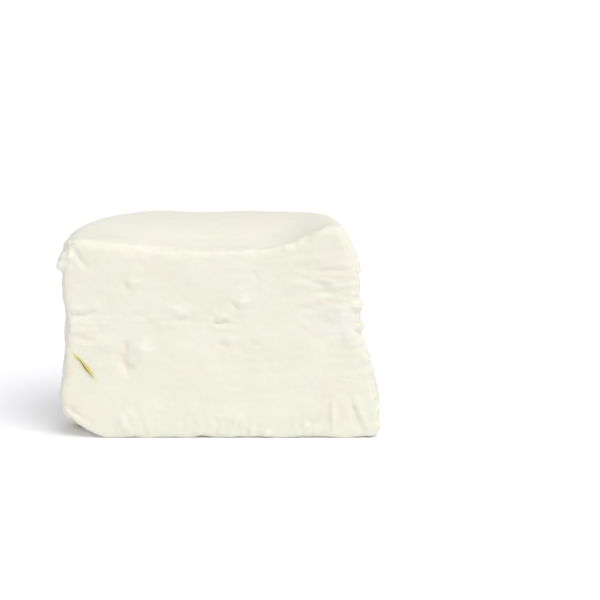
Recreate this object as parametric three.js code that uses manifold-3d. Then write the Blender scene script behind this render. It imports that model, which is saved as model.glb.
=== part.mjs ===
// Half of a round fresh goat's cheese, as cut, standing on its base with the cut face in front.
//
// Millimetres. +X runs to the right along the cut face, +Y from the cut into the cheese, +Z up.
// The origin is on the table, under the middle of the half's width and depth.
// The cheese is one soft, white, solid piece: a flat base, a round back wall that spreads into a
// foot, a level top with a rounded shoulder, and a flat cut face. The knife has pressed the top
// edge of the cut down in the middle, rippled the curd along the base and left torn crumbs.

import * as THREE from "three";
import { ImprovedNoise } from "three/addons/math/ImprovedNoise.js";
import { mergeVertices } from "three/addons/utils/BufferGeometryUtils.js";
import Module from "manifold-3d";

// How far the half reaches from the middle of its cut face, above the foot.
const LEFT_REACH = 49.4;
const RIGHT_REACH = 41.6;
const BACK_REACH = 45;

// The half is a little squarish in plan: the power of its outline's curve, which is 2 for a round.
const PLAN_POWER = 2.6;

// The foot, where the soft curd has spread. The right end leans out much more than the left. The
// rest of the wall bulges near the table and is drawn in at a waist.
const FOOT_HEIGHT = 34;
const LEFT_SPREAD = 0.2;
const RIGHT_SPREAD = 7.3;
const BACK_SPREAD = 2.5;
const BULGE = { height: 9, depth: 1.2, width: 9 };
const WAIST = { height: 38, depth: 0.5, width: 9 };

// The top is almost level. It rises a little to the right, less so at the back, falls a little
// to the middle of the back, and dips where the knife went in.
const TOP_HEIGHT = 65.6;
const TOP_RISE = 2;
const TOP_RISE_AT_BACK = 1.2;
const TOP_FALL = { depth: 1.4, middle: 4, width: 21 };
const DIP = { depth: 6.4, middle: 8, length: 17 };
const DIP_LEFT = { width: 39, power: 2.5 };
const DIP_RIGHT = { width: 20, power: 3 };

// Radii of the rounded edges. The shoulder is round all the way and fuller at the right end.
const LEFT_SHOULDER = 6;
const RIGHT_SHOULDER = 11;
const WALL_BASE_EDGE = 3.5;
const CUT_TOP_EDGE = 2.4;
const CUT_BASE_EDGE = 1.6;
const LEFT_CORNER = 3.5;
const RIGHT_CORNER = 2;

// The lower left corner of the cut is squashed clear of the table, to a radius seen from the
// front. This fades away into the cheese and upwards.
const LIFTED = { radius: 13, depth: 9, height: 24 };

// The base is flat, but four places near its rim reach a hair lower and carry the cheese.
const REST_GAP = 0.05;
const REST_WIDTH = 6;
const REST_PLACES = [
  { x: -36, y: 3.5 },
  { x: 45, y: 3.5 },
  { x: 30, y: 36 },
  { x: -30, y: 36 },
];

// Relief: swells and lumps all over, a ragged edge down the right end of the cut face, a lobe
// at its upper left, and smears that ripple along its base. It fades out just above the table.
const SWELLS = { length: 24, depth: 0.9, seed: 3.7 };
const LUMPS = { length: 7.5, depth: 0.5, seed: 9.1 };
const RAGGED_EDGE = { length: 3.4, depth: 0.8, seed: 1.3, wide: 8, deep: 4 };
const LOBE = { x: -50, z: 53, across: 8, out: 1.6 };
const RIPPLES = { length: 3.6, height: 9, depth: 1.5 };
const RELIEF_START = 4;

// How squarely the surface must face the front to count as the cut face: not at all, fully.
const CUT_FACING = [0.6, 0.95];

// Two long folds that run in from the left end of the cut face.
const FOLD_HEIGHTS = [39, 31];
const FOLD = { reach: 15, width: 1.6, depth: 0.8 };

// Marks on the cut face: distance right of its middle, height, size across, and how far each
// stands out or, where negative, goes in.
const CUT_MARKS = [
  { name: "crater at the upper left", x: -30, z: 48.5, across: 5, out: -1.2 },
  { name: "crumb beside it", x: -27, z: 50, across: 4.5, out: 0.9 },
  { name: "middle curd", x: -13.2, z: 40.5, across: 6, out: 1.1 },
  { name: "crease under it", x: -12.6, z: 37.6, across: 4.5, out: -0.9 },
  { name: "smile", x: -0.2, z: 36.9, across: 4.5, out: -1.2 },
  { name: "curd over the smile", x: -0.3, z: 39.6, across: 4, out: 0.7 },
  { name: "upper curd", x: 6.2, z: 43.7, across: 5.5, out: 1 },
  { name: "notch", x: 10.3, z: 51.6, across: 4, out: -0.8 },
  { name: "large dent", x: -29.7, z: 23.2, across: 8, out: -1.7 },
  { name: "curd above the dent", x: -24.5, z: 28.9, across: 8, out: 1.2 },
  { name: "smear at the right", x: 33, z: 46.5, across: 12, out: -1.1 },
  { name: "ridge over the smear", x: 32, z: 50.5, across: 8, out: 0.9 },
  { name: "low left curd", x: -30.5, z: 6.8, across: 9, out: 0.9 },
  { name: "low right curd", x: 32, z: 11, across: 9, out: 0.9 },
];

// Torn curd fused to the ends of the cut face: a flap that overhangs at the upper left, two
// larger crumbs on the right, and small ones scattered up the right end.
const FLAP = { x: -48, y: 4, z: 56, wide: 4.4, deep: 4.6, high: 3.4, lean: -0.6 };
const RIGHT_CRUMBS = [
  { x: 41.2, y: 1.4, z: 42.6, size: 1.5 },
  { x: 41.9, y: 1.7, z: 35.3, size: 1.6 },
];
const SMALL_CRUMBS = { count: 9, size: [0.7, 1.2], height: [6, 60], inward: [0.6, 1.8] };
const CRUMB_SEED = 23;
const TEAR = { length: 0.7, depth: 0.3 };

// A fine hay stem, 10 mm long, half sunk in the cut face near its left end.
const STEM_TOP = { x: -46.8, z: 27.3 };
const STEM_FOOT = { x: -39.3, z: 18 };
const STEM_RADIUS = 0.5;
const STEM_SIDES = 6;
const STEM_STEPS = 6;

// The grid that the surface is made from, closer together near the edges.
const GRID = { across: 44, deep: 16, high: 28 };
const CROWDING = 0.3;

const wasm = await Module();
wasm.setup();
const noise = new ImprovedNoise();
const { lerp, smoothstep } = THREE.MathUtils;

const bell = (distance, width) => Math.exp(-((distance / width) ** 2));
const plateau = (distance, width) => 1 / (1 + (distance / width) ** 6);
const crowd = (t) => t + (CROWDING * Math.sin(Math.PI * t)) / Math.PI;
const wave = (p, { length, depth, seed }) =>
  depth * noise.noise(p.x / length + seed, p.y / length, p.z / length + seed);

// Rounds the edge where two faces meet. Takes a point's depth under each of the two faces and
// gives its new depths: squares around the edge's inner line become circles.
function roundEdge(a, b, radius) {
  const u = radius - a;
  const v = radius - b;
  if (u <= 0 || v <= 0) return [a, b];
  const shrink = Math.max(u, v) / Math.hypot(u, v);
  return [radius - u * shrink, radius - v * shrink];
}

// Carries a point of the grid's square to the half round of radius 1, corners rounded.
function halfRound(across, deep) {
  const side = across < 0 ? -1 : 1;
  const corner = side < 0 ? LEFT_CORNER / LEFT_REACH : RIGHT_CORNER / RIGHT_REACH;
  const [fromEnd, t] = roundEdge(1 - Math.abs(across), (deep + 1) / 2, corner);
  const u = 1 - fromEnd;
  return new THREE.Vector2(side * u * Math.sqrt(1 - (t * t) / 2), t * Math.sqrt(1 - (u * u) / 2));
}

// The same point at its real size, at one height, on a plan that is a little squarish.
function atHeight({ x, y }, z) {
  const spread = Math.max(0, 1 - (z / FOOT_HEIGHT) ** 2);
  const bulge = BULGE.depth * bell(z - BULGE.height, BULGE.width);
  const swell = bulge - WAIST.depth * bell(z - WAIST.height, WAIST.width);
  const left = LEFT_REACH + LEFT_SPREAD * spread + swell;
  const right = RIGHT_REACH + RIGHT_SPREAD * spread;
  const back = BACK_REACH + BACK_SPREAD * spread + swell;
  const share = Math.hypot(x, y);
  const corner = (Math.abs(x) ** PLAN_POWER + Math.abs(y) ** PLAN_POWER) ** (1 / PLAN_POWER);
  const fullness = share > 0 ? share / corner : 1;
  return new THREE.Vector2((x * fullness * (left + right) + right - left) / 2, y * fullness * back);
}

function topHeight({ x, y }) {
  const back = y / BACK_REACH;
  const rise = lerp(TOP_RISE, TOP_RISE_AT_BACK, back) * (x / BACK_REACH);
  const fall = TOP_FALL.depth * back * plateau(x - TOP_FALL.middle, TOP_FALL.width);
  const side = x < DIP.middle ? DIP_LEFT : DIP_RIGHT;
  const sideways = Math.exp(-((Math.abs(x - DIP.middle) / side.width) ** side.power));
  const dip = DIP.depth * sideways * bell(y, DIP.length);
  return TOP_HEIGHT + rise - fall - dip;
}

// How far a rounded edge has left one face, at a distance in from the other.
function edgeDrop(distance, radius) {
  const u = Math.min(radius, Math.max(0, radius - distance));
  return radius - Math.sqrt(radius * radius - u * u);
}

// Carries one point of the grid's box, from -1 to 1 each way, to its place on the smooth cheese.
function place(p) {
  const unit = halfRound(crowd(p.x), crowd(p.y));
  const up = (crowd(p.z) + 1) / 2;
  const share = unit.length();
  const rightness = ((unit.x + 1) / 2) ** 4;
  const shoulder = lerp(LEFT_SHOULDER, RIGHT_SHOULDER, rightness);
  const top = topHeight(atHeight(unit, TOP_HEIGHT));
  let z = up * top;

  // The wall meets the top and the base.
  let fromWall = (1 - share) * BACK_REACH;
  if (up > 0.5) {
    const [inside, under] = roundEdge(fromWall, top - z, shoulder);
    fromWall = inside;
    z = top - under;
  } else {
    [fromWall, z] = roundEdge(fromWall, z, WALL_BASE_EDGE);
  }
  if (share > 0) unit.multiplyScalar((1 - fromWall / BACK_REACH) / share);
  const plan = atHeight(unit, z);

  // The cut meets the top and the base.
  if (up > 0.5) {
    const roof = top - edgeDrop(fromWall, shoulder);
    const [inside, under] = roundEdge(plan.y, roof - z, CUT_TOP_EDGE);
    plan.y = inside;
    z = roof - under;
  } else {
    [plan.y, z] = roundEdge(plan.y, z, CUT_BASE_EDGE);
  }
  const fromLeft = plan.x - atHeight({ x: -1, y: 0 }, z).x;
  const fading = bell(plan.y, LIFTED.depth) * (1 - smoothstep(z, 0, LIFTED.height));
  return new THREE.Vector3(plan.x, plan.y, z + edgeDrop(fromLeft, LIFTED.radius) * fading);
}

// How high the base is over the table: nothing where the cheese rests, a hair elsewhere.
function baseHeight(p) {
  const nearest = Math.min(...REST_PLACES.map(({ x, y }) => Math.hypot(p.x - x, p.y - y)));
  return REST_GAP * smoothstep(nearest, 0, REST_WIDTH);
}

// How far the real surface stands out from the smooth one.
function relief(p, normal) {
  const onCut = smoothstep(-normal.y, ...CUT_FACING);
  const fromRight = smoothstep(p.x, RIGHT_REACH - RAGGED_EDGE.wide, RIGHT_REACH);
  const clearOfTable = smoothstep(p.z, 0, RELIEF_START);
  let out = wave(p, SWELLS) + wave(p, LUMPS);
  out += bell(p.y, RAGGED_EDGE.deep) * fromRight * wave(p, RAGGED_EDGE);
  out += LOBE.out * bell(Math.hypot(p.x - LOBE.x, p.y, p.z - LOBE.z), LOBE.across);
  for (const mark of CUT_MARKS)
    out += onCut * mark.out * bell(Math.hypot(p.x - mark.x, p.z - mark.z), mark.across / 2);
  for (const height of FOLD_HEIGHTS)
    out -= onCut * FOLD.depth * bell(p.z - height, FOLD.width) * bell(p.x + LEFT_REACH, FOLD.reach);
  const ripple = noise.noise(p.x / RIPPLES.length, 0, p.z / RIPPLES.height + 0.4);
  out += onCut * RIPPLES.depth * ripple * bell(p.z, RIPPLES.height);
  return out * clearOfTable;
}

// A geometry with position only and its shared vertices merged.
function bare(geometry) {
  geometry.deleteAttribute("normal");
  geometry.deleteAttribute("uv");
  return mergeVertices(geometry, 1e-4);
}

function toSolid(geometry) {
  return new wasm.Manifold(
    new wasm.Mesh({
      numProp: 3,
      vertProperties: new Float32Array(geometry.attributes.position.array),
      triVerts: new Uint32Array(geometry.index.array),
    }),
  );
}

// Moves each vertex of a geometry to where change(point, its normal) puts it.
function reshape(geometry, change) {
  geometry.computeVertexNormals();
  const { position, normal } = geometry.attributes;
  for (let i = 0; i < position.count; i++) {
    const p = new THREE.Vector3().fromBufferAttribute(position, i);
    const moved = change(p, new THREE.Vector3().fromBufferAttribute(normal, i));
    position.setXYZ(i, moved.x, moved.y, moved.z);
  }
  geometry.deleteAttribute("normal");
  return geometry;
}

// The half cheese without what is torn or stuck on: a gridded box drawn into the half round.
function half() {
  const box = bare(new THREE.BoxGeometry(2, 2, 2, GRID.across, GRID.deep, GRID.high));
  const smooth = reshape(box, place);
  const rough = reshape(smooth, (p, normal) => {
    p.addScaledVector(normal, relief(p, normal));
    p.z = Math.max(baseHeight(p), p.z);
    return p;
  });
  return toSolid(rough);
}

// An uneven lump of torn curd of the given half sizes.
function curd({ x, y, z, wide, deep, high, lean = 0 }, seed, detail) {
  const lump = bare(new THREE.IcosahedronGeometry(1, detail));
  reshape(lump, (p) => p.multiplyScalar(1 + wave(p, { ...TEAR, seed })));
  lump.scale(wide, deep, high);
  lump.rotateY(lean);
  lump.translate(x, y, z);
  return toSolid(lump);
}

// A small repeatable source of numbers from 0 to 1.
function draws(seed) {
  let state = seed;
  return () => {
    state = (state * 16807) % 2147483647;
    return state / 2147483647;
  };
}

// Crumbs up the ragged right end of the cut face, more than half sunk in it.
function rightCrumbs() {
  const crumbs = RIGHT_CRUMBS.map(({ x, y, z, size }, i) =>
    curd({ x, y, z, wide: 0.9 * size, deep: size, high: 1.4 * size }, i, 2),
  );
  const draw = draws(CRUMB_SEED);
  for (let i = 0; i < SMALL_CRUMBS.count; i++) {
    const z = lerp(...SMALL_CRUMBS.height, draw());
    const size = lerp(...SMALL_CRUMBS.size, draw());
    const x = atHeight({ x: 1, y: 0 }, z).x - lerp(...SMALL_CRUMBS.inward, draw());
    crumbs.push(curd({ x, y: size, z, wide: size, deep: size, high: 1.4 * size }, i, 0));
  }
  return crumbs;
}

// The stem: a spindle along the line from its top to its foot.
function stem() {
  const run = new THREE.Vector2(STEM_FOOT.x - STEM_TOP.x, STEM_FOOT.z - STEM_TOP.z);
  const profile = [new THREE.Vector2(0, 0)];
  for (let i = 1; i < STEM_STEPS; i++) {
    const along = i / STEM_STEPS;
    const radius = STEM_RADIUS * Math.sqrt(Math.sin(Math.PI * along));
    profile.push(new THREE.Vector2(radius, along * run.length()));
  }
  profile.push(new THREE.Vector2(0, run.length()));
  const spindle = bare(new THREE.LatheGeometry(profile, STEM_SIDES));
  spindle.rotateX(Math.PI / 2);
  spindle.rotateY(Math.atan2(run.x, run.y));
  spindle.translate(STEM_TOP.x, 0, STEM_TOP.z);
  return toSolid(spindle);
}

function toGeometry(solid) {
  const { vertProperties, triVerts } = solid.getMesh();
  const geometry = new THREE.BufferGeometry();
  geometry.setAttribute("position", new THREE.BufferAttribute(vertProperties, 3));
  geometry.setIndex(new THREE.BufferAttribute(triVerts, 1));
  geometry.computeVertexNormals();
  return geometry;
}

// The whole piece, moved so that the middle of its base is at the origin.
function cheese() {
  const pieces = [curd(FLAP, 6.3, 4), ...rightCrumbs(), stem()];
  const solid = pieces.reduce((whole, piece) => whole.add(piece), half());
  const geometry = toGeometry(solid);
  geometry.computeBoundingBox();
  const middle = geometry.boundingBox.getCenter(new THREE.Vector3());
  geometry.translate(-middle.x, -middle.y, 0);
  const curdWhite = new THREE.MeshStandardMaterial({ color: 0xf2f0e2, roughness: 0.6, metalness: 0 });
  const mesh = new THREE.Mesh(geometry, curdWhite);
  mesh.name = "goat_cheese";
  return mesh;
}

const group = new THREE.Group();
group.add(cheese());

export default group;
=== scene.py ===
import math
import random

import bpy
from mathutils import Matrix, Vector, noise


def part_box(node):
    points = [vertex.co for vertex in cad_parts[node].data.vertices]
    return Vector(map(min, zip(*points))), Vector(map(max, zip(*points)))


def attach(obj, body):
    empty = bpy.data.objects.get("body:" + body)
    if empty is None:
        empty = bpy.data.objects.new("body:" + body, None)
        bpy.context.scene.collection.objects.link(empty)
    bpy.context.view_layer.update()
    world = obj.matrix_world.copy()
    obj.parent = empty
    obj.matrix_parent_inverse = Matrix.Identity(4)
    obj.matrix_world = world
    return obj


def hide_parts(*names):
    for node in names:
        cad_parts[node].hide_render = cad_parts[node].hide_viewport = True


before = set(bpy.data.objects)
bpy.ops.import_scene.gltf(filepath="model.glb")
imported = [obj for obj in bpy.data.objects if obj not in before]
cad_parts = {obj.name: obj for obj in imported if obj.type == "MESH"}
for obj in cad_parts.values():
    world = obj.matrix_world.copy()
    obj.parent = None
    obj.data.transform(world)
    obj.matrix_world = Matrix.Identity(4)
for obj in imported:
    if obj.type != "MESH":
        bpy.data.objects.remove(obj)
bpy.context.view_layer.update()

# The half of cheese is one piece of fresh curd, set in a round mould and cut through with a
# knife. It is drawn up ring by ring from a half disc: a foot where the soft curd has spread,
# a wall that leans in at the upper right, and a rounded shoulder. The cut is at the front.
MM = 0.001
FOREMOST_CURD = 1.33 * MM
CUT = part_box("goat_cheese")[0].y + FOREMOST_CURD
MIDDLE = 1.99 * MM
TALLEST = 68 * MM
LEFT_REACH = 49.4 * MM
RIGHT_REACH = 41.6 * MM
BACK_REACH = 45 * MM
FOOT_HEIGHT = 34 * MM
LEFT_SPREAD = 0.2 * MM
RIGHT_SPREAD = 7.3 * MM
BACK_SPREAD = 2.5 * MM
BULGE_HEIGHT = 9 * MM
BULGE_DEPTH = 1.2 * MM
BULGE_WIDTH = 9 * MM
WAIST_HEIGHT = 38 * MM
WAIST_DEPTH = 0.5 * MM
WAIST_WIDTH = 9 * MM
BASE_EDGE = 3.5 * MM
LEFT_SHOULDER = 6 * MM
RIGHT_SHOULDER = 3.5 * MM
BACK_SHOULDER = 6.5 * MM
RIGHT_LEAN = 5 * MM
LEAN_HEIGHT = 15 * MM
LEAN_POWER = 1.3
EDGE_STEPS = 8
WALL_STEPS = 12


def bell(distance, width):
    """1 in the middle, falling smoothly to nothing a few widths away."""
    return math.exp(-((distance / width) ** 2))


def ease(value, start, end):
    """0 before start, 1 after end, smooth between."""
    t = min(max((value - start) / (end - start), 0), 1)
    return t * t * (3 - 2 * t)


def drawn_in(distance, radius):
    """How far a rounded edge has left one face, at a distance from where the other face lies."""
    t = min(max(1 - distance / radius, 0), 1)
    return radius * (1 - math.sqrt(1 - t * t))


def reaches(z):
    """How far the wall stands from the middle of the cut at a height: left, right and back."""
    spread = max(0, 1 - (z / FOOT_HEIGHT) ** 2)
    swell = BULGE_DEPTH * bell(z - BULGE_HEIGHT, BULGE_WIDTH)
    swell -= WAIST_DEPTH * bell(z - WAIST_HEIGHT, WAIST_WIDTH)
    base = drawn_in(z, BASE_EDGE)
    from_top = TALLEST - z
    lean = RIGHT_LEAN * max(0, 1 - from_top / LEAN_HEIGHT) ** LEAN_POWER
    return (
        LEFT_REACH + LEFT_SPREAD * spread + swell - base - drawn_in(from_top, LEFT_SHOULDER),
        RIGHT_REACH + RIGHT_SPREAD * spread - base - lean - drawn_in(from_top, RIGHT_SHOULDER),
        BACK_REACH + BACK_SPREAD * spread + swell - base - drawn_in(from_top, BACK_SHOULDER),
    )


turns = [math.pi / 2 * step / EDGE_STEPS for step in range(EDGE_STEPS + 1)]
heights = [BASE_EDGE * (1 - math.cos(turn)) for turn in turns]
wall = TALLEST - BACK_SHOULDER - BASE_EDGE
heights += [BASE_EDGE + wall * step / WALL_STEPS for step in range(1, WALL_STEPS)]
heights += [TALLEST - BACK_SHOULDER * (1 - math.sin(turn)) for turn in turns]

bpy.ops.object.select_all(action="DESELECT")
bpy.ops.mesh.primitive_circle_add(vertices=96, radius=BACK_REACH, fill_type="NGON")
curd = bpy.context.object
curd.name = "curd"
bpy.ops.object.mode_set(mode="EDIT")
bpy.ops.mesh.select_all(action="SELECT")
bpy.ops.mesh.bisect(plane_co=(0, 0, 0), plane_no=(0, -1, 0), clear_outer=True)
bpy.ops.mesh.select_all(action="SELECT")
ring = (0, BACK_REACH, BACK_REACH, 0)
for z in heights:
    middle, half_width, depth, height = ring
    if z > height:
        bpy.ops.mesh.extrude_region_move(TRANSFORM_OT_translate={"value": (0, 0, z - height)})
    left, right, back = reaches(z)
    ring = ((right - left) / 2, (left + right) / 2, back, z)
    bpy.ops.transform.resize(
        value=(ring[1] / half_width, back / depth, 1), center_override=(middle, 0, 0)
    )
    bpy.ops.transform.translate(value=(ring[0] - middle, 0, 0))
bpy.ops.mesh.select_all(action="SELECT")
bpy.ops.mesh.normals_make_consistent(inside=False)
bpy.ops.transform.translate(value=(MIDDLE, CUT, 0))
bpy.ops.object.mode_set(mode="OBJECT")


def modify(piece, kind, **settings):
    """Adds one modifier to a piece and applies it."""
    bpy.ops.object.select_all(action="DESELECT")
    piece.select_set(True)
    bpy.context.view_layer.objects.active = piece
    modifier = piece.modifiers.new(kind.lower(), kind)
    for name, value in settings.items():
        setattr(modifier, name, value)
    bpy.ops.object.modifier_apply(modifier=modifier.name)


def shift(piece, distance, share, direction="NORMAL", mid_level=0, **settings):
    """Moves a surface by a distance times the share, -1 to 1, that share(place, normal) gives."""
    shares = [share(vertex.co, vertex.normal) for vertex in piece.data.vertices]
    for way in (1, -1):
        group = piece.vertex_groups.new(name="share")
        for vertex, part in enumerate(shares):
            if part * way > 0:
                group.add([vertex], min(part * way, 1), "REPLACE")
        modify(
            piece,
            "DISPLACE",
            vertex_group="share",
            direction=direction,
            strength=distance * way,
            mid_level=mid_level,
            **settings,
        )
        piece.vertex_groups.clear()


# The half is a little squarish in plan. Its top is almost level: higher towards the right end,
# lower in the middle of the back, and pressed down along the middle of the cut. The edges of the
# cut are rounded, and its lower left corner is squashed clear of the table.
FORM_GRAIN = 0.9 * MM
PLAN_POWER = 2.6
TOP_HEIGHT = 65.6 * MM
TOP_RISE = 2 * MM
TOP_RISE_AT_BACK = 1.2 * MM
END_RISE = 0.9 * MM
END_SPAN = (20 * MM, 38 * MM)
TOP_FALL = 1.4 * MM
FALL_MIDDLE = 4 * MM
FALL_WIDTH = 21 * MM
FALL_POWER = 6
DIP_DEPTH = 6.4 * MM
DIP_MIDDLE = 8 * MM
DIP_LENGTH = 17 * MM
DIP_LEFT = (39 * MM, 2.5)
DIP_RIGHT = (20 * MM, 3)
CUT_TOP_EDGE = 2.4 * MM
CUT_BASE_EDGE = 1.6 * MM
LEFT_CORNER = 2.4 * MM
LEFT_CORNER_DEPTH = 4 * MM
LIFTED_RISE = 7.6 * MM
LIFTED_LENGTH = 12 * MM
LIFTED_POWER = 1.7
LIFTED_DEPTH = 9 * MM
LIFTED_HEIGHT = 24 * MM
RIGHT_CORNER = 2 * MM
# The most that one of these forms moves a point.
MOST = 12 * MM


def fullness(p):
    """How much further out the squarish plan lies, towards a point, than a round one."""
    left, right, back = reaches(p.z)
    across = abs(2 * (p.x - MIDDLE) + left - right) / (left + right)
    deep = abs(p.y - CUT) / back
    corner = (across**PLAN_POWER + deep**PLAN_POWER) ** (1 / PLAN_POWER)
    return math.hypot(across, deep) / corner - 1 if corner > 0 else 0


def top_at(x, y):
    """The height of the top, over a place right of the cut's middle and behind the cut."""
    back = y / BACK_REACH
    rise = (TOP_RISE + (TOP_RISE_AT_BACK - TOP_RISE) * back) * x / BACK_REACH
    rise += END_RISE * ease(x, *END_SPAN)
    fall = TOP_FALL * back / (1 + ((x - FALL_MIDDLE) / FALL_WIDTH) ** FALL_POWER)
    width, power = DIP_LEFT if x < DIP_MIDDLE else DIP_RIGHT
    dip = DIP_DEPTH * math.exp(-((abs(x - DIP_MIDDLE) / width) ** power)) * bell(y, DIP_LENGTH)
    return TOP_HEIGHT + rise - fall - dip


def sunk(p, normal):
    """How far a point sinks as the top comes down to its own height, as a share of the most."""
    return (TALLEST - top_at(p.x - MIDDLE, p.y - CUT)) * p.z / TALLEST / MOST


def rounded_off(p, normal):
    """How far a point is pushed back by the rounded edges of the cut, as a share of the most."""
    x = p.x - MIDDLE
    top = top_at(x, 0)
    left, right, back = reaches(p.z * TALLEST / top)
    depth = max(
        drawn_in(top - p.z, CUT_TOP_EDGE),
        drawn_in(p.z, CUT_BASE_EDGE),
        drawn_in(left + x, LEFT_CORNER) * LEFT_CORNER_DEPTH / LEFT_CORNER,
        drawn_in(right - x, RIGHT_CORNER),
    )
    return max(CUT + depth - p.y, 0) / MOST


def lifted(p, normal):
    """How far a point rises where the lower left corner is clear of the table, as a share."""
    from_end = max(0, p.x - MIDDLE + reaches(p.z)[0])
    fading = bell(p.y - CUT, LIFTED_DEPTH) * (1 - ease(p.z, 0, LIFTED_HEIGHT))
    return LIFTED_RISE * max(0, 1 - from_end / LIFTED_LENGTH) ** LIFTED_POWER * fading / MOST


modify(curd, "REMESH", mode="VOXEL", voxel_size=FORM_GRAIN)
shift(curd, MOST, lambda p, n: fullness(p) * (p.x - MIDDLE) / MOST, direction="X")
shift(curd, MOST, lambda p, n: fullness(p) * (p.y - CUT) / MOST, direction="Y")
shift(curd, -MOST, sunk, direction="Z")
shift(curd, MOST, rounded_off, direction="Y")
shift(curd, MOST, lifted, direction="Z")

# Torn curd on the ends of the cut: a lobe folded out at the upper left, which overhangs, two
# larger crumbs on the right, and small ones up the ragged right end. All of it is fused on.
SKIN_GRAIN = 0.55 * MM
SMALL_CRUMBS = 24
FLATTENED = 0.65
MOULD_SMOOTHED = 0.7
FLAKE_PATCH = 15 * MM
SMEAR_HEIGHT = 48 * MM
SMEAR_WIDTH = 9 * MM
FOLDS_HEIGHT = 35 * MM
FOLDS_WIDTH = 6 * MM
DRIP_PATCH = 9 * MM
DRIP_HEIGHT = 7 * MM
CREASE_HEIGHT = 57 * MM
CREASE_WIDTH = 8 * MM
CREST_WIDTH = 2.6 * MM
UNDERCUT_HEIGHT = 2.5 * MM
draw = random.Random(11)


def cloud(size, depth=0):
    """A noise texture for relief, with lumps of about a size."""
    texture = bpy.data.textures.new("noise", "CLOUDS")
    texture.noise_scale = size
    texture.noise_depth = depth
    texture.noise_type = "SOFT_NOISE"
    return texture


def tear(x, y, z, half_size, lean, grain, depth):
    """One uneven lump of curd, shaped from a sphere. Its place is given from the cut's middle."""
    bpy.ops.object.select_all(action="DESELECT")
    bpy.ops.mesh.primitive_ico_sphere_add(subdivisions=4, radius=1)
    lump = bpy.context.object
    bpy.ops.object.mode_set(mode="EDIT")
    bpy.ops.mesh.select_all(action="SELECT")
    bpy.ops.transform.resize(value=half_size)
    bpy.ops.transform.rotate(value=-lean, orient_axis="Y", center_override=(0, 0, 0))
    bpy.ops.transform.translate(value=(MIDDLE + x, CUT + y, z))
    bpy.ops.object.mode_set(mode="OBJECT")
    modify(lump, "DISPLACE", texture=cloud(grain), strength=depth, mid_level=0.5)
    return lump


torn = [
    tear(-47.7 * MM, 3.4 * MM, 56.2 * MM, (2.4 * MM, 4.0 * MM, 4.4 * MM), 0.5, 2.2 * MM, 2.4 * MM),
    tear(-49.8 * MM, 3.8 * MM, 54.8 * MM, (1.3 * MM, 2.0 * MM, 2.0 * MM), 0.2, 1.2 * MM, 1.2 * MM),
    tear(-46.8 * MM, 3.0 * MM, 61.2 * MM, (1.3 * MM, 1.6 * MM, 1.0 * MM), 0.9, 1.1 * MM, 0.9 * MM),
    tear(41.0 * MM, 1.4 * MM, 42.6 * MM, (1.6 * MM, 1.6 * MM, 2.0 * MM), 0.2, 1.3 * MM, 1.0 * MM),
    tear(41.4 * MM, 1.7 * MM, 35.2 * MM, (2.3 * MM, 1.7 * MM, 1.3 * MM), -0.3, 1.5 * MM, 1.0 * MM),
]
for _ in range(SMALL_CRUMBS):
    z = draw.uniform(5, 56) * MM
    size = draw.uniform(0.5, 1.1) * MM
    x = reaches(z)[1] - draw.uniform(0.2, 1.2) * MM
    y = draw.uniform(0.4, 2.5) * MM
    torn.append(tear(x, y, z, (size, size, 1.5 * size), draw.uniform(-0.8, 0.8), 0.9 * MM, size))

bpy.ops.object.select_all(action="DESELECT")
for piece in [*torn, curd]:
    piece.select_set(True)
bpy.context.view_layer.objects.active = curd
bpy.ops.object.join()
modify(curd, "REMESH", mode="VOXEL", voxel_size=SKIN_GRAIN)
modify(curd, "SMOOTH", factor=0.5, iterations=4)


def on_cut(p, normal):
    """1 on the cut face, 0 on the wall and the top."""
    return ease(-normal.y, 0.5, 0.95) * ease(CUT + 5 * MM - p.y, 0, 2 * MM)


def on_top(p, normal):
    """1 on the top, 0 on the wall and the cut face."""
    return ease(normal.z, 0.5, 0.9)


def off_table(p, normal):
    """0 where the cheese rests, 1 a little above."""
    return ease(p.z, 0, 4 * MM)


def uneven(p, normal):
    """All of the wall, and a third of the cut face and the top, which are flatter."""
    return off_table(p, normal) * (1 - FLATTENED * max(on_cut(p, normal), on_top(p, normal)))


def lumpy(p, normal):
    """The same, but hardly any of the top, which the mould has left smooth."""
    return uneven(p, normal) * (1 - MOULD_SMOOTHED * on_top(p, normal))


def relief(strength, texture, share, stretch=(1, 1, 1), direction="NORMAL"):
    """One layer of noise over the curd. Stretch draws the noise out along x, y and z."""
    bpy.ops.object.empty_add()
    ruler = bpy.context.object
    ruler.scale = stretch
    bpy.context.view_layer.update()
    shift(
        curd,
        strength,
        share,
        direction,
        mid_level=0.5,
        texture=texture,
        texture_coords="OBJECT",
        texture_coords_object=ruler,
    )
    bpy.data.objects.remove(ruler)


def flaky(p, normal):
    """Patches of the cut face where the curd has torn into flakes."""
    patch = noise.noise(Vector((p.x, 0, p.z)) / FLAKE_PATCH + Vector((3.1, 0, 0)))
    right_end = ease(p.x - MIDDLE, 33 * MM, 40 * MM)
    return on_cut(p, normal) * off_table(p, normal) * max(ease(patch, -0.15, 0.35), right_end)


def smeared(p, normal):
    """The bands where the knife drew the curd sideways: upper right, and folds at the left."""
    x = p.x - MIDDLE
    right_band = bell(p.z - SMEAR_HEIGHT, SMEAR_WIDTH) * ease(x, 12 * MM, 32 * MM)
    left_folds = bell(p.z - FOLDS_HEIGHT, FOLDS_WIDTH) * ease(-x, 24 * MM, 40 * MM)
    return on_cut(p, normal) * max(right_band, left_folds, 0.15)


def dragged(p, normal):
    """The band along the base where the curd is drawn out downwards, here more, there less."""
    patch = noise.noise(Vector((p.x, 0, 0)) / DRIP_PATCH + Vector((8.4, 0, 0)))
    return on_cut(p, normal) * bell(p.z, DRIP_HEIGHT) * ease(patch, -0.4, 0.5)


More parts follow.
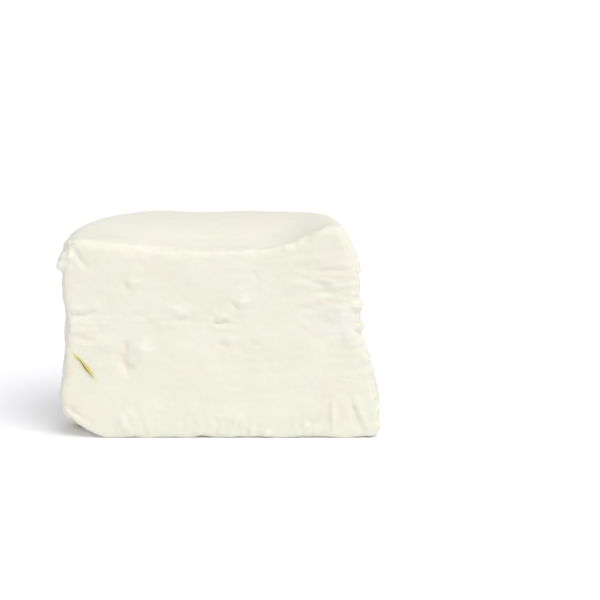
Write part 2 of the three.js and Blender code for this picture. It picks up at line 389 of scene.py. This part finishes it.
def ragged(p, normal):
    """The torn ends of the cut: the right one, and more finely the left one."""
    left, right, back = reaches(p.z)
    x = p.x - MIDDLE
    ends = ease(x - right, -8 * MM, -1 * MM) + 0.5 * ease(-x - left, -5 * MM, -1 * MM)
    below_top = 1 - 0.7 * ease(p.z, 54 * MM, 62 * MM)
    return ends * bell(p.y - CUT, 3 * MM) * below_top * off_table(p, normal)


def creased(p, normal):
    """The wall's shoulder, where the skin has set in shallow upright folds."""
    upright = 1 - ease(normal.z, 0.4, 0.8)
    standing = (1 - on_cut(p, normal)) * upright
    return standing * bell(p.z - CREASE_HEIGHT, CREASE_WIDTH) * ease(p.y - CUT, 0, 6 * MM)


def crested(p, normal):
    """The top edge of the cut, which the knife has left a little ragged."""
    from_edge = math.hypot(p.y - CUT - MM, p.z - top_at(p.x - MIDDLE, 0))
    return bell(from_edge, CREST_WIDTH)


def undercut(p, normal):
    """The lowest edge of the cut face, which touches the table only here and there."""
    return bell(p.y - CUT, 4 * MM) * (1 - ease(p.z, 0, UNDERCUT_HEIGHT))


cracks = bpy.data.textures.new("cracks", "VORONOI")
cracks.noise_scale = 4.2 * MM
cracks.weight_1 = -1
cracks.weight_2 = 1
cracks.noise_intensity = 1.6

relief(1.6 * MM, cloud(24 * MM), uneven)
relief(1.2 * MM, cloud(9 * MM), lumpy)
relief(0.4 * MM, cracks, flaky, stretch=(1.4, 1, 0.8))
relief(0.5 * MM, cloud(2.6 * MM, 1), lumpy)
relief(1.3 * MM, cloud(2.2 * MM, 1), smeared, stretch=(5, 1, 1))
relief(2.8 * MM, cloud(2.4 * MM, 1), dragged, stretch=(1, 1, 1.8))
relief(1.8 * MM, cloud(1.6 * MM, 1), ragged, direction="X")
relief(1.0 * MM, cloud(3.2 * MM), creased, stretch=(1, 1, 6))
relief(0.3 * MM, cloud(3.6 * MM, 1), on_top, stretch=(2.2, 1, 1))
relief(2.0 * MM, cloud(4.5 * MM, 1), crested, stretch=(1.4, 1, 1))
relief(1.6 * MM, cloud(6 * MM, 1), undercut, direction="Z")

# Marks on the cut face, as turned ellipses: how far right of the middle and how high, half
# width and half height, turn in degrees, and how far out or in. All but the turn are in mm.
MARKS = [
    ("crater", -30.0, 48.4, 2.4, 1.0, -42, -0.45),
    ("knob beside it", -27.0, 50.0, 1.8, 1.5, 0, 0.6),
    ("middle flake", -13.2, 40.5, 2.6, 1.9, 0, 0.55),
    ("its under edge", -12.6, 37.9, 2.6, 0.7, -6, -0.45),
    ("small flake", -18.7, 36.0, 1.3, 1.0, 0, 0.4),
    ("smile", -0.3, 36.9, 2.4, 0.6, 0, -0.7),
    ("lump over the smile", -0.2, 38.8, 1.9, 1.1, 0, 0.6),
    ("upper flake", 6.2, 43.8, 1.7, 1.4, 0, 0.7),
    ("its under edge", 3.9, 42.3, 1.9, 0.8, -35, -0.4),
    ("notch", 10.2, 51.6, 1.6, 0.8, -55, -0.4),
    ("small pit", -0.1, 30.1, 1.1, 0.8, 0, -0.4),
    ("lump by the pit", 2.8, 31.4, 1.8, 1.2, 20, 0.4),
    ("right pit", 9.8, 30.4, 1.8, 0.7, -15, -0.35),
    ("dent", -29.8, 23.3, 1.6, 2.9, 30, -1.0),
    ("upper dent", -29.8, 28.9, 1.0, 1.6, 0, -0.5),
    ("curd above the dent", -24.5, 28.9, 2.4, 2.8, -20, 0.75),
    ("long fold", -43.8, 39.4, 4.2, 0.7, 3, -0.55),
    ("faint fold", -26.9, 39.2, 4.0, 0.6, 0, -0.25),
    ("short fold", -41.8, 31.4, 3.0, 0.8, -8, -0.5),
    ("groove of the lobe", -43.8, 57.6, 0.9, 3.4, 32, -0.8),
    ("upper smear", 29.5, 53.5, 8.0, 1.3, -4, -0.5),
    ("smear ridge", 32.0, 50.4, 3.5, 1.1, -8, 0.6),
    ("middle smear", 33.0, 46.8, 5.0, 1.5, -10, -0.8),
    ("lower smear", 31.7, 44.0, 3.4, 0.8, -4, -0.4),
    ("right flake", 37.0, 40.0, 2.4, 2.6, -30, 0.6),
    ("lower right flake", 38.5, 33.0, 2.0, 2.6, -20, 0.5),
    ("ledge crease", -45.3, 7.4, 4.6, 0.8, -38, -0.8),
    ("ledge", -43.6, 5.4, 4.4, 1.0, -34, 0.7),
    ("low lump", -30.2, 6.9, 2.2, 1.9, 0, 0.55),
    ("middle low lump", 4.6, 6.5, 1.6, 1.6, 0, 0.6),
    ("nub at the base", 13.5, 1.6, 1.6, 1.4, 0, 0.9),
    ("low right crease", 28.0, 5.8, 2.6, 1.6, 10, -0.6),
    ("upright ridge", 34.2, 7.5, 0.9, 5.0, 0, 0.8),
    ("slanting ridge", 43.0, 8.0, 0.9, 4.5, 20, 0.5),
    ("slanting crease", 40.8, 8.5, 0.8, 4.0, 20, -0.5),
]
OUTLINE_TEAR = 0.9
OUTLINE_GRAIN = 2.2 * MM
MARK_REACH = 3


def mark_depth(p):
    """How far all the marks, their outlines torn by noise, move a point of the cut out, in mm."""
    out = 0
    torn_across = OUTLINE_TEAR * noise.noise(p / OUTLINE_GRAIN)
    torn_up = OUTLINE_TEAR * noise.noise(p / OUTLINE_GRAIN + Vector((5.2, 1.3, 8.1)))
    for name, x, z, half_width, half_height, turn, depth in MARKS:
        across = (p.x - MIDDLE) / MM - x + torn_across
        up = p.z / MM - z + torn_up
        if math.hypot(across, up) > MARK_REACH * max(half_width, half_height):
            continue
        cos, sin = math.cos(math.radians(turn)), math.sin(math.radians(turn))
        along = across * cos + up * sin
        aside = up * cos - across * sin
        out += depth * bell(along, half_width) * bell(aside, half_height)
    return out


shift(curd, -MOST, lambda p, n: on_cut(p, n) * mark_depth(p) * MM / MOST, direction="Y")
bpy.ops.object.shade_smooth()


class Socket:
    """An output of a shader node. Sums with it add the Math nodes that work them out."""

    def __init__(self, out):
        self.out = out

    def work_out(self, operation, first, second):
        node = self.out.id_data.nodes.new("ShaderNodeMath")
        node.operation = operation
        for socket, value in zip(node.inputs, (first, second)):
            put(socket, value)
        return Socket(node.outputs[0])

    def __add__(self, other):
        return self.work_out("ADD", self, other)

    def __sub__(self, other):
        return self.work_out("SUBTRACT", self, other)

    def __rsub__(self, other):
        return self.work_out("SUBTRACT", other, self)

    def __mul__(self, other):
        return self.work_out("MULTIPLY", self, other)

    def __truediv__(self, other):
        return self.work_out("DIVIDE", self, other)

    def __rpow__(self, other):
        return self.work_out("POWER", other, self)

    __radd__ = __add__


def put(socket, value):
    """Links a socket to an output, or gives it a plain value."""
    if isinstance(value, Socket):
        socket.id_data.links.new(value.out, socket)
    else:
        socket.default_value = value


class Finish:
    """A material in the making. Every node but a Math node comes from node()."""

    def __init__(self, name):
        self.material = bpy.data.materials.new(name)
        self.material.use_nodes = True
        self.tree = self.material.node_tree
        self.shader = self.tree.nodes["Principled BSDF"]

    def node(self, kind, settings, sockets, output=0):
        """Adds a node with its settings, and its sockets' values or links. Stops are a ramp's."""
        node = self.tree.nodes.new(kind)
        stops = settings.pop("stops", [])
        for name, value in settings.items():
            setattr(node, name, value)
        for _ in stops[2:]:
            node.color_ramp.elements.new(0.5)
        for index, (position, colour) in enumerate(stops):
            node.color_ramp.elements[index].position = position
            node.color_ramp.elements[index].color = colour
        for name, value in sockets.items():
            put(node.inputs[name], value)
        return Socket(node.outputs[output])

    def surface(self, **sockets):
        """Sets or links the shader's own sockets."""
        for name, value in sockets.items():
            put(self.shader.inputs[name.replace("_", " ")], value)


# The curd is white with a breath of cream, moist and slightly translucent. It is a little creamier
# in patches, darker along the base and over the lower half, and stained yellow by the stem.
# Painted shade darkens the dents, the pink and green smear grooves and the dipped front edge of
# the top; painted highlights lighten the raised lumps and flakes.
TINTS_AND_PAINTED_LIGHT = [
    ("round the stem", -42.6, 23.0, 4.4, 0.62, -50, (0.74, 0.64, 0.08, 1), 1.2),
    ("beside the stem", -46.3, 22.4, 1.6, 2.0, 0, (0.86, 0.70, 0.45, 1), 0.35),
    # Painted shade: the dent and the upper dent are darkened pinkish brown in their hollows. The
    # curd above the dent gets a painted highlight, a lighter spot on its raised lump.
    ("dent", -29.8, 23.0, 1.6, 3.0, 25, (0.80, 0.69, 0.57, 1), 0.35),
    ("upper dent", -29.8, 28.6, 1.2, 2.2, 0, (0.84, 0.70, 0.59, 1), 0.35),
    ("curd above the dent", -24.5, 28.9, 2.4, 2.8, -20, (0.89, 0.88, 0.80, 1), 0.6),
    # Pink and green tints over the upper, middle and lower smear grooves, darkened there as
    # painted shade.
    ("upper smear", 29.0, 52.6, 9.0, 1.6, -4, (0.76, 0.72, 0.60, 1), 0.35),
    ("middle smear", 33.0, 46.6, 5.5, 1.4, -8, (0.76, 0.78, 0.60, 1), 0.4),
    ("lower smear", 31.5, 43.8, 3.6, 0.8, -4, (0.84, 0.70, 0.62, 1), 0.4),
    # Painted highlights: lighter, whiter spots on the raised right flakes, middle flake, upper
    # flake and low lump.
    ("painted highlight on the right flakes", 37.0, 37.0, 2.6, 5.0, -20, (0.90, 0.89, 0.83, 1), 0.6),
    ("middle flake", -13.2, 40.5, 2.4, 1.7, 0, (0.88, 0.88, 0.80, 1), 0.55),
    ("upper flake", 6.2, 43.8, 1.6, 1.3, 0, (0.88, 0.88, 0.80, 1), 0.5),
    ("low lump", -30.2, 6.9, 2.2, 1.9, 0, (0.87, 0.88, 0.81, 1), 0.6),
    # Painted shade: a darker pinkish band along the dipped front edge of the top of the cut.
    ("painted shade along the front of the top", 2.0, 60.0, 12.0, 1.2, 0, (0.82, 0.74, 0.66, 1), 0.3),
    ("base at the right", 37.4, 9.0, 1.2, 3.0, 0, (0.87, 0.70, 0.48, 1), 0.3),
    ("along the base", 0, 2.0, 60.0, 5.0, 0, (0.76, 0.77, 0.665, 1), 0.5),
    ("lower half", 0, 16.0, 60.0, 12.0, 0, (0.80, 0.785, 0.655, 1), 0.3),
]
TINT_WANDER = 2.4
EULER = 2.718
curd_white = Finish("fresh_curd")
place = curd_white.node("ShaderNodeTexCoord", {}, {}, "Object")
patches = curd_white.node(
    "ShaderNodeTexNoise", {}, {"Vector": place, "Scale": 60.0, "Detail": 2.0, "Roughness": 0.5}
)
flecks = curd_white.node(
    "ShaderNodeTexNoise", {}, {"Vector": place, "Scale": 330.0, "Detail": 3.0, "Roughness": 0.6}
)
grain = curd_white.node(
    "ShaderNodeTexNoise", {}, {"Vector": place, "Scale": 1500.0, "Detail": 2.0, "Roughness": 0.6}
)
colour = curd_white.node(
    "ShaderNodeValToRGB",
    {"stops": [(0.33, (0.825, 0.81, 0.695, 1)), (0.67, (0.86, 0.85, 0.745, 1))]},
    {"Fac": patches * 0.7 + flecks * 0.25},
)
for hue, corner in [((0.85, 0.81, 0.705, 1), 0.0), ((0.81, 0.815, 0.69, 1), 0.37)]:
    clouds = curd_white.node(
        "ShaderNodeTexNoise",
        {"noise_dimensions": "4D"},
        {"Vector": place, "W": corner, "Scale": 70.0, "Detail": 1.5, "Roughness": 0.45},
    )
    share = curd_white.node(
        "ShaderNodeMapRange",
        {},
        {"Value": clouds, "From Min": 0.45, "From Max": 0.72, "To Max": 0.75},
    )
    colour = curd_white.node(
        "ShaderNodeMix", {"data_type": "RGBA"}, {"Factor": share, "A": colour, "B": hue}, "Result"
    )
across = curd_white.node("ShaderNodeSeparateXYZ", {}, {"Vector": place}, "X") / MM
across = across + flecks * TINT_WANDER - TINT_WANDER / 2
deep = curd_white.node("ShaderNodeSeparateXYZ", {}, {"Vector": place}, "Y") / MM
up = curd_white.node("ShaderNodeSeparateXYZ", {}, {"Vector": place}, "Z") / MM
near_cut = curd_white.node(
    "ShaderNodeMapRange", {}, {"Value": deep, "From Min": CUT / MM + 6, "From Max": CUT / MM + 3}
)
for name, x, z, half_width, half_height, turn, tint, strength in TINTS_AND_PAINTED_LIGHT:
    cos, sin = math.cos(math.radians(turn)), math.sin(math.radians(turn))
    from_x = across - (MIDDLE / MM + x)
    from_z = up - z
    along = (from_x * cos + from_z * sin) / half_width
    aside = (from_z * cos - from_x * sin) / half_height
    spot = EULER ** (0 - along * along - aside * aside)
    share = spot * strength * (flecks * 0.8 + 0.6) * near_cut
    colour = curd_white.node(
        "ShaderNodeMix", {"data_type": "RGBA"}, {"Factor": share, "A": colour, "B": tint}, "Result"
    )
tooth = (flecks * 0.6 + grain * 0.2) * (near_cut * 0.65 + 0.35)
bump = curd_white.node(
    "ShaderNodeBump", {}, {"Height": tooth, "Strength": 0.35, "Distance": 0.4 * MM}
)
curd_white.surface(
    Base_Color=colour,
    Roughness=0.5 + flecks * 0.2,
    Normal=bump,
    Subsurface_Weight=0.3,
    Subsurface_Radius=(1.0, 0.85, 0.6),
    Subsurface_Scale=1.5 * MM,
    IOR=1.38,
)
curd.data.materials.clear()
curd.data.materials.append(curd_white.material)
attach(curd, "root")
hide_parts("goat_cheese")

# A fine dry stem of hay, 10 mm long, half sunk in the cut face near its left end: thin at the
# top, kinked and thickest below its middle, olive there and straw yellow at both ends. Its
# points are how far right of the cut's middle, how high, and the radius there, in mm.
STEM = [
    (-46.1, 27.2, 0.07),
    (-44.8, 25.9, 0.12),
    (-43.3, 24.2, 0.14),
    (-42.8, 23.0, 0.18),
    (-41.6, 21.4, 0.18),
    (-40.7, 20.4, 0.13),
    (-39.6, 19.0, 0.07),
]
STEM_FLATNESS = 0.7
STEM_OUT = 0.2 * MM
STEM_FOOT = 19
STEM_RISE = 8
stem_x, stem_z, stem_radius = STEM[0]
bpy.ops.object.select_all(action="DESELECT")
bpy.ops.mesh.primitive_circle_add(vertices=10, radius=stem_radius * MM, fill_type="NGON")
stem = bpy.context.object
stem.name = "hay_stem"
bpy.ops.object.mode_set(mode="EDIT")
bpy.ops.mesh.select_all(action="SELECT")
bpy.ops.transform.translate(value=(stem_x * MM, 0, stem_z * MM))
for x, z, radius in STEM[1:]:
    bpy.ops.mesh.extrude_region_move(
        TRANSFORM_OT_translate={"value": ((x - stem_x) * MM, 0, (z - stem_z) * MM)}
    )
    growth = radius / stem_radius
    bpy.ops.transform.resize(value=(growth, growth, 1), center_override=(x * MM, 0, z * MM))
    stem_x, stem_z, stem_radius = x, z, radius
bpy.ops.mesh.select_all(action="SELECT")
bpy.ops.mesh.normals_make_consistent(inside=False)
bpy.ops.transform.resize(value=(1, STEM_FLATNESS, 1), center_override=(0, 0, 0))
bpy.ops.transform.translate(value=(MIDDLE, CUT - STEM_OUT, 0))
bpy.ops.object.mode_set(mode="OBJECT")
modify(stem, "SUBSURF", levels=2)
bpy.ops.object.shade_smooth()
hay = Finish("dry_hay")
place = hay.node("ShaderNodeTexCoord", {}, {}, "Object")
height = hay.node("ShaderNodeSeparateXYZ", {}, {"Vector": place}, "Z") / MM
fibres = hay.node("ShaderNodeTexNoise", {}, {"Vector": place, "Scale": 900.0, "Detail": 2.0})
straw = (0.62, 0.53, 0.06, 1)
olive = (0.17, 0.15, 0.012, 1)
hay_colour = hay.node(
    "ShaderNodeValToRGB",
    {"stops": [(0.02, straw), (0.12, olive), (0.75, olive), (0.95, straw)]},
    {"Fac": (height - STEM_FOOT) / STEM_RISE + (fibres - 0.5) * 0.25},
)
hay.surface(Base_Color=hay_colour, Roughness=0.55)
stem.data.materials.append(hay.material)
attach(stem, "root")

# The camera stands level with the cut's middle, a metre off, and looks a little down on it.
CAMERA_DISTANCE = 1.015
CAMERA_RISE = math.radians(12.8)
AIM = Vector((25.93 * MM, CUT, 44.1 * MM))
bpy.ops.object.camera_add(
    location=AIM + CAMERA_DISTANCE * Vector((0, -math.cos(CAMERA_RISE), math.sin(CAMERA_RISE))),
    rotation=(math.pi / 2 - CAMERA_RISE, 0, 0),
)
camera = bpy.context.object
camera.data.lens = 198
camera.data.clip_start = 0.05
camera.data.clip_end = 50
bpy.context.scene.camera = camera

# A white sweep of paper, lit evenly, that goes on past the edges of the picture.
bpy.ops.mesh.primitive_plane_add(size=12)
floor = bpy.context.object
floor.name = "table"
paper = Finish("white_paper")
paper.surface(
    Base_Color=(0.955, 0.95, 0.975, 1),
    Roughness=0.9,
    Emission_Color=(1, 1, 1, 1),
    Emission_Strength=0.06,
)
floor.data.materials.append(paper.material)

# Soft light: a white room all round, and a broad lamp far off, high at the front right.
sky = bpy.data.worlds.new("white_room")
sky.use_nodes = True
sky.node_tree.nodes["Background"].inputs["Color"].default_value = (0.975, 0.985, 1, 1)
sky.node_tree.nodes["Background"].inputs["Strength"].default_value = 0.56
bpy.context.scene.world = sky
bpy.ops.object.light_add(type="SUN")
key = bpy.context.object
key.name = "key"
key.data.energy = 1.78
key.data.angle = math.radians(40)
key.rotation_euler = Vector((-0.35, 0.54, -1)).to_track_quat("-Z", "Y").to_euler()
bpy.context.scene.view_settings.view_transform = "Standard"
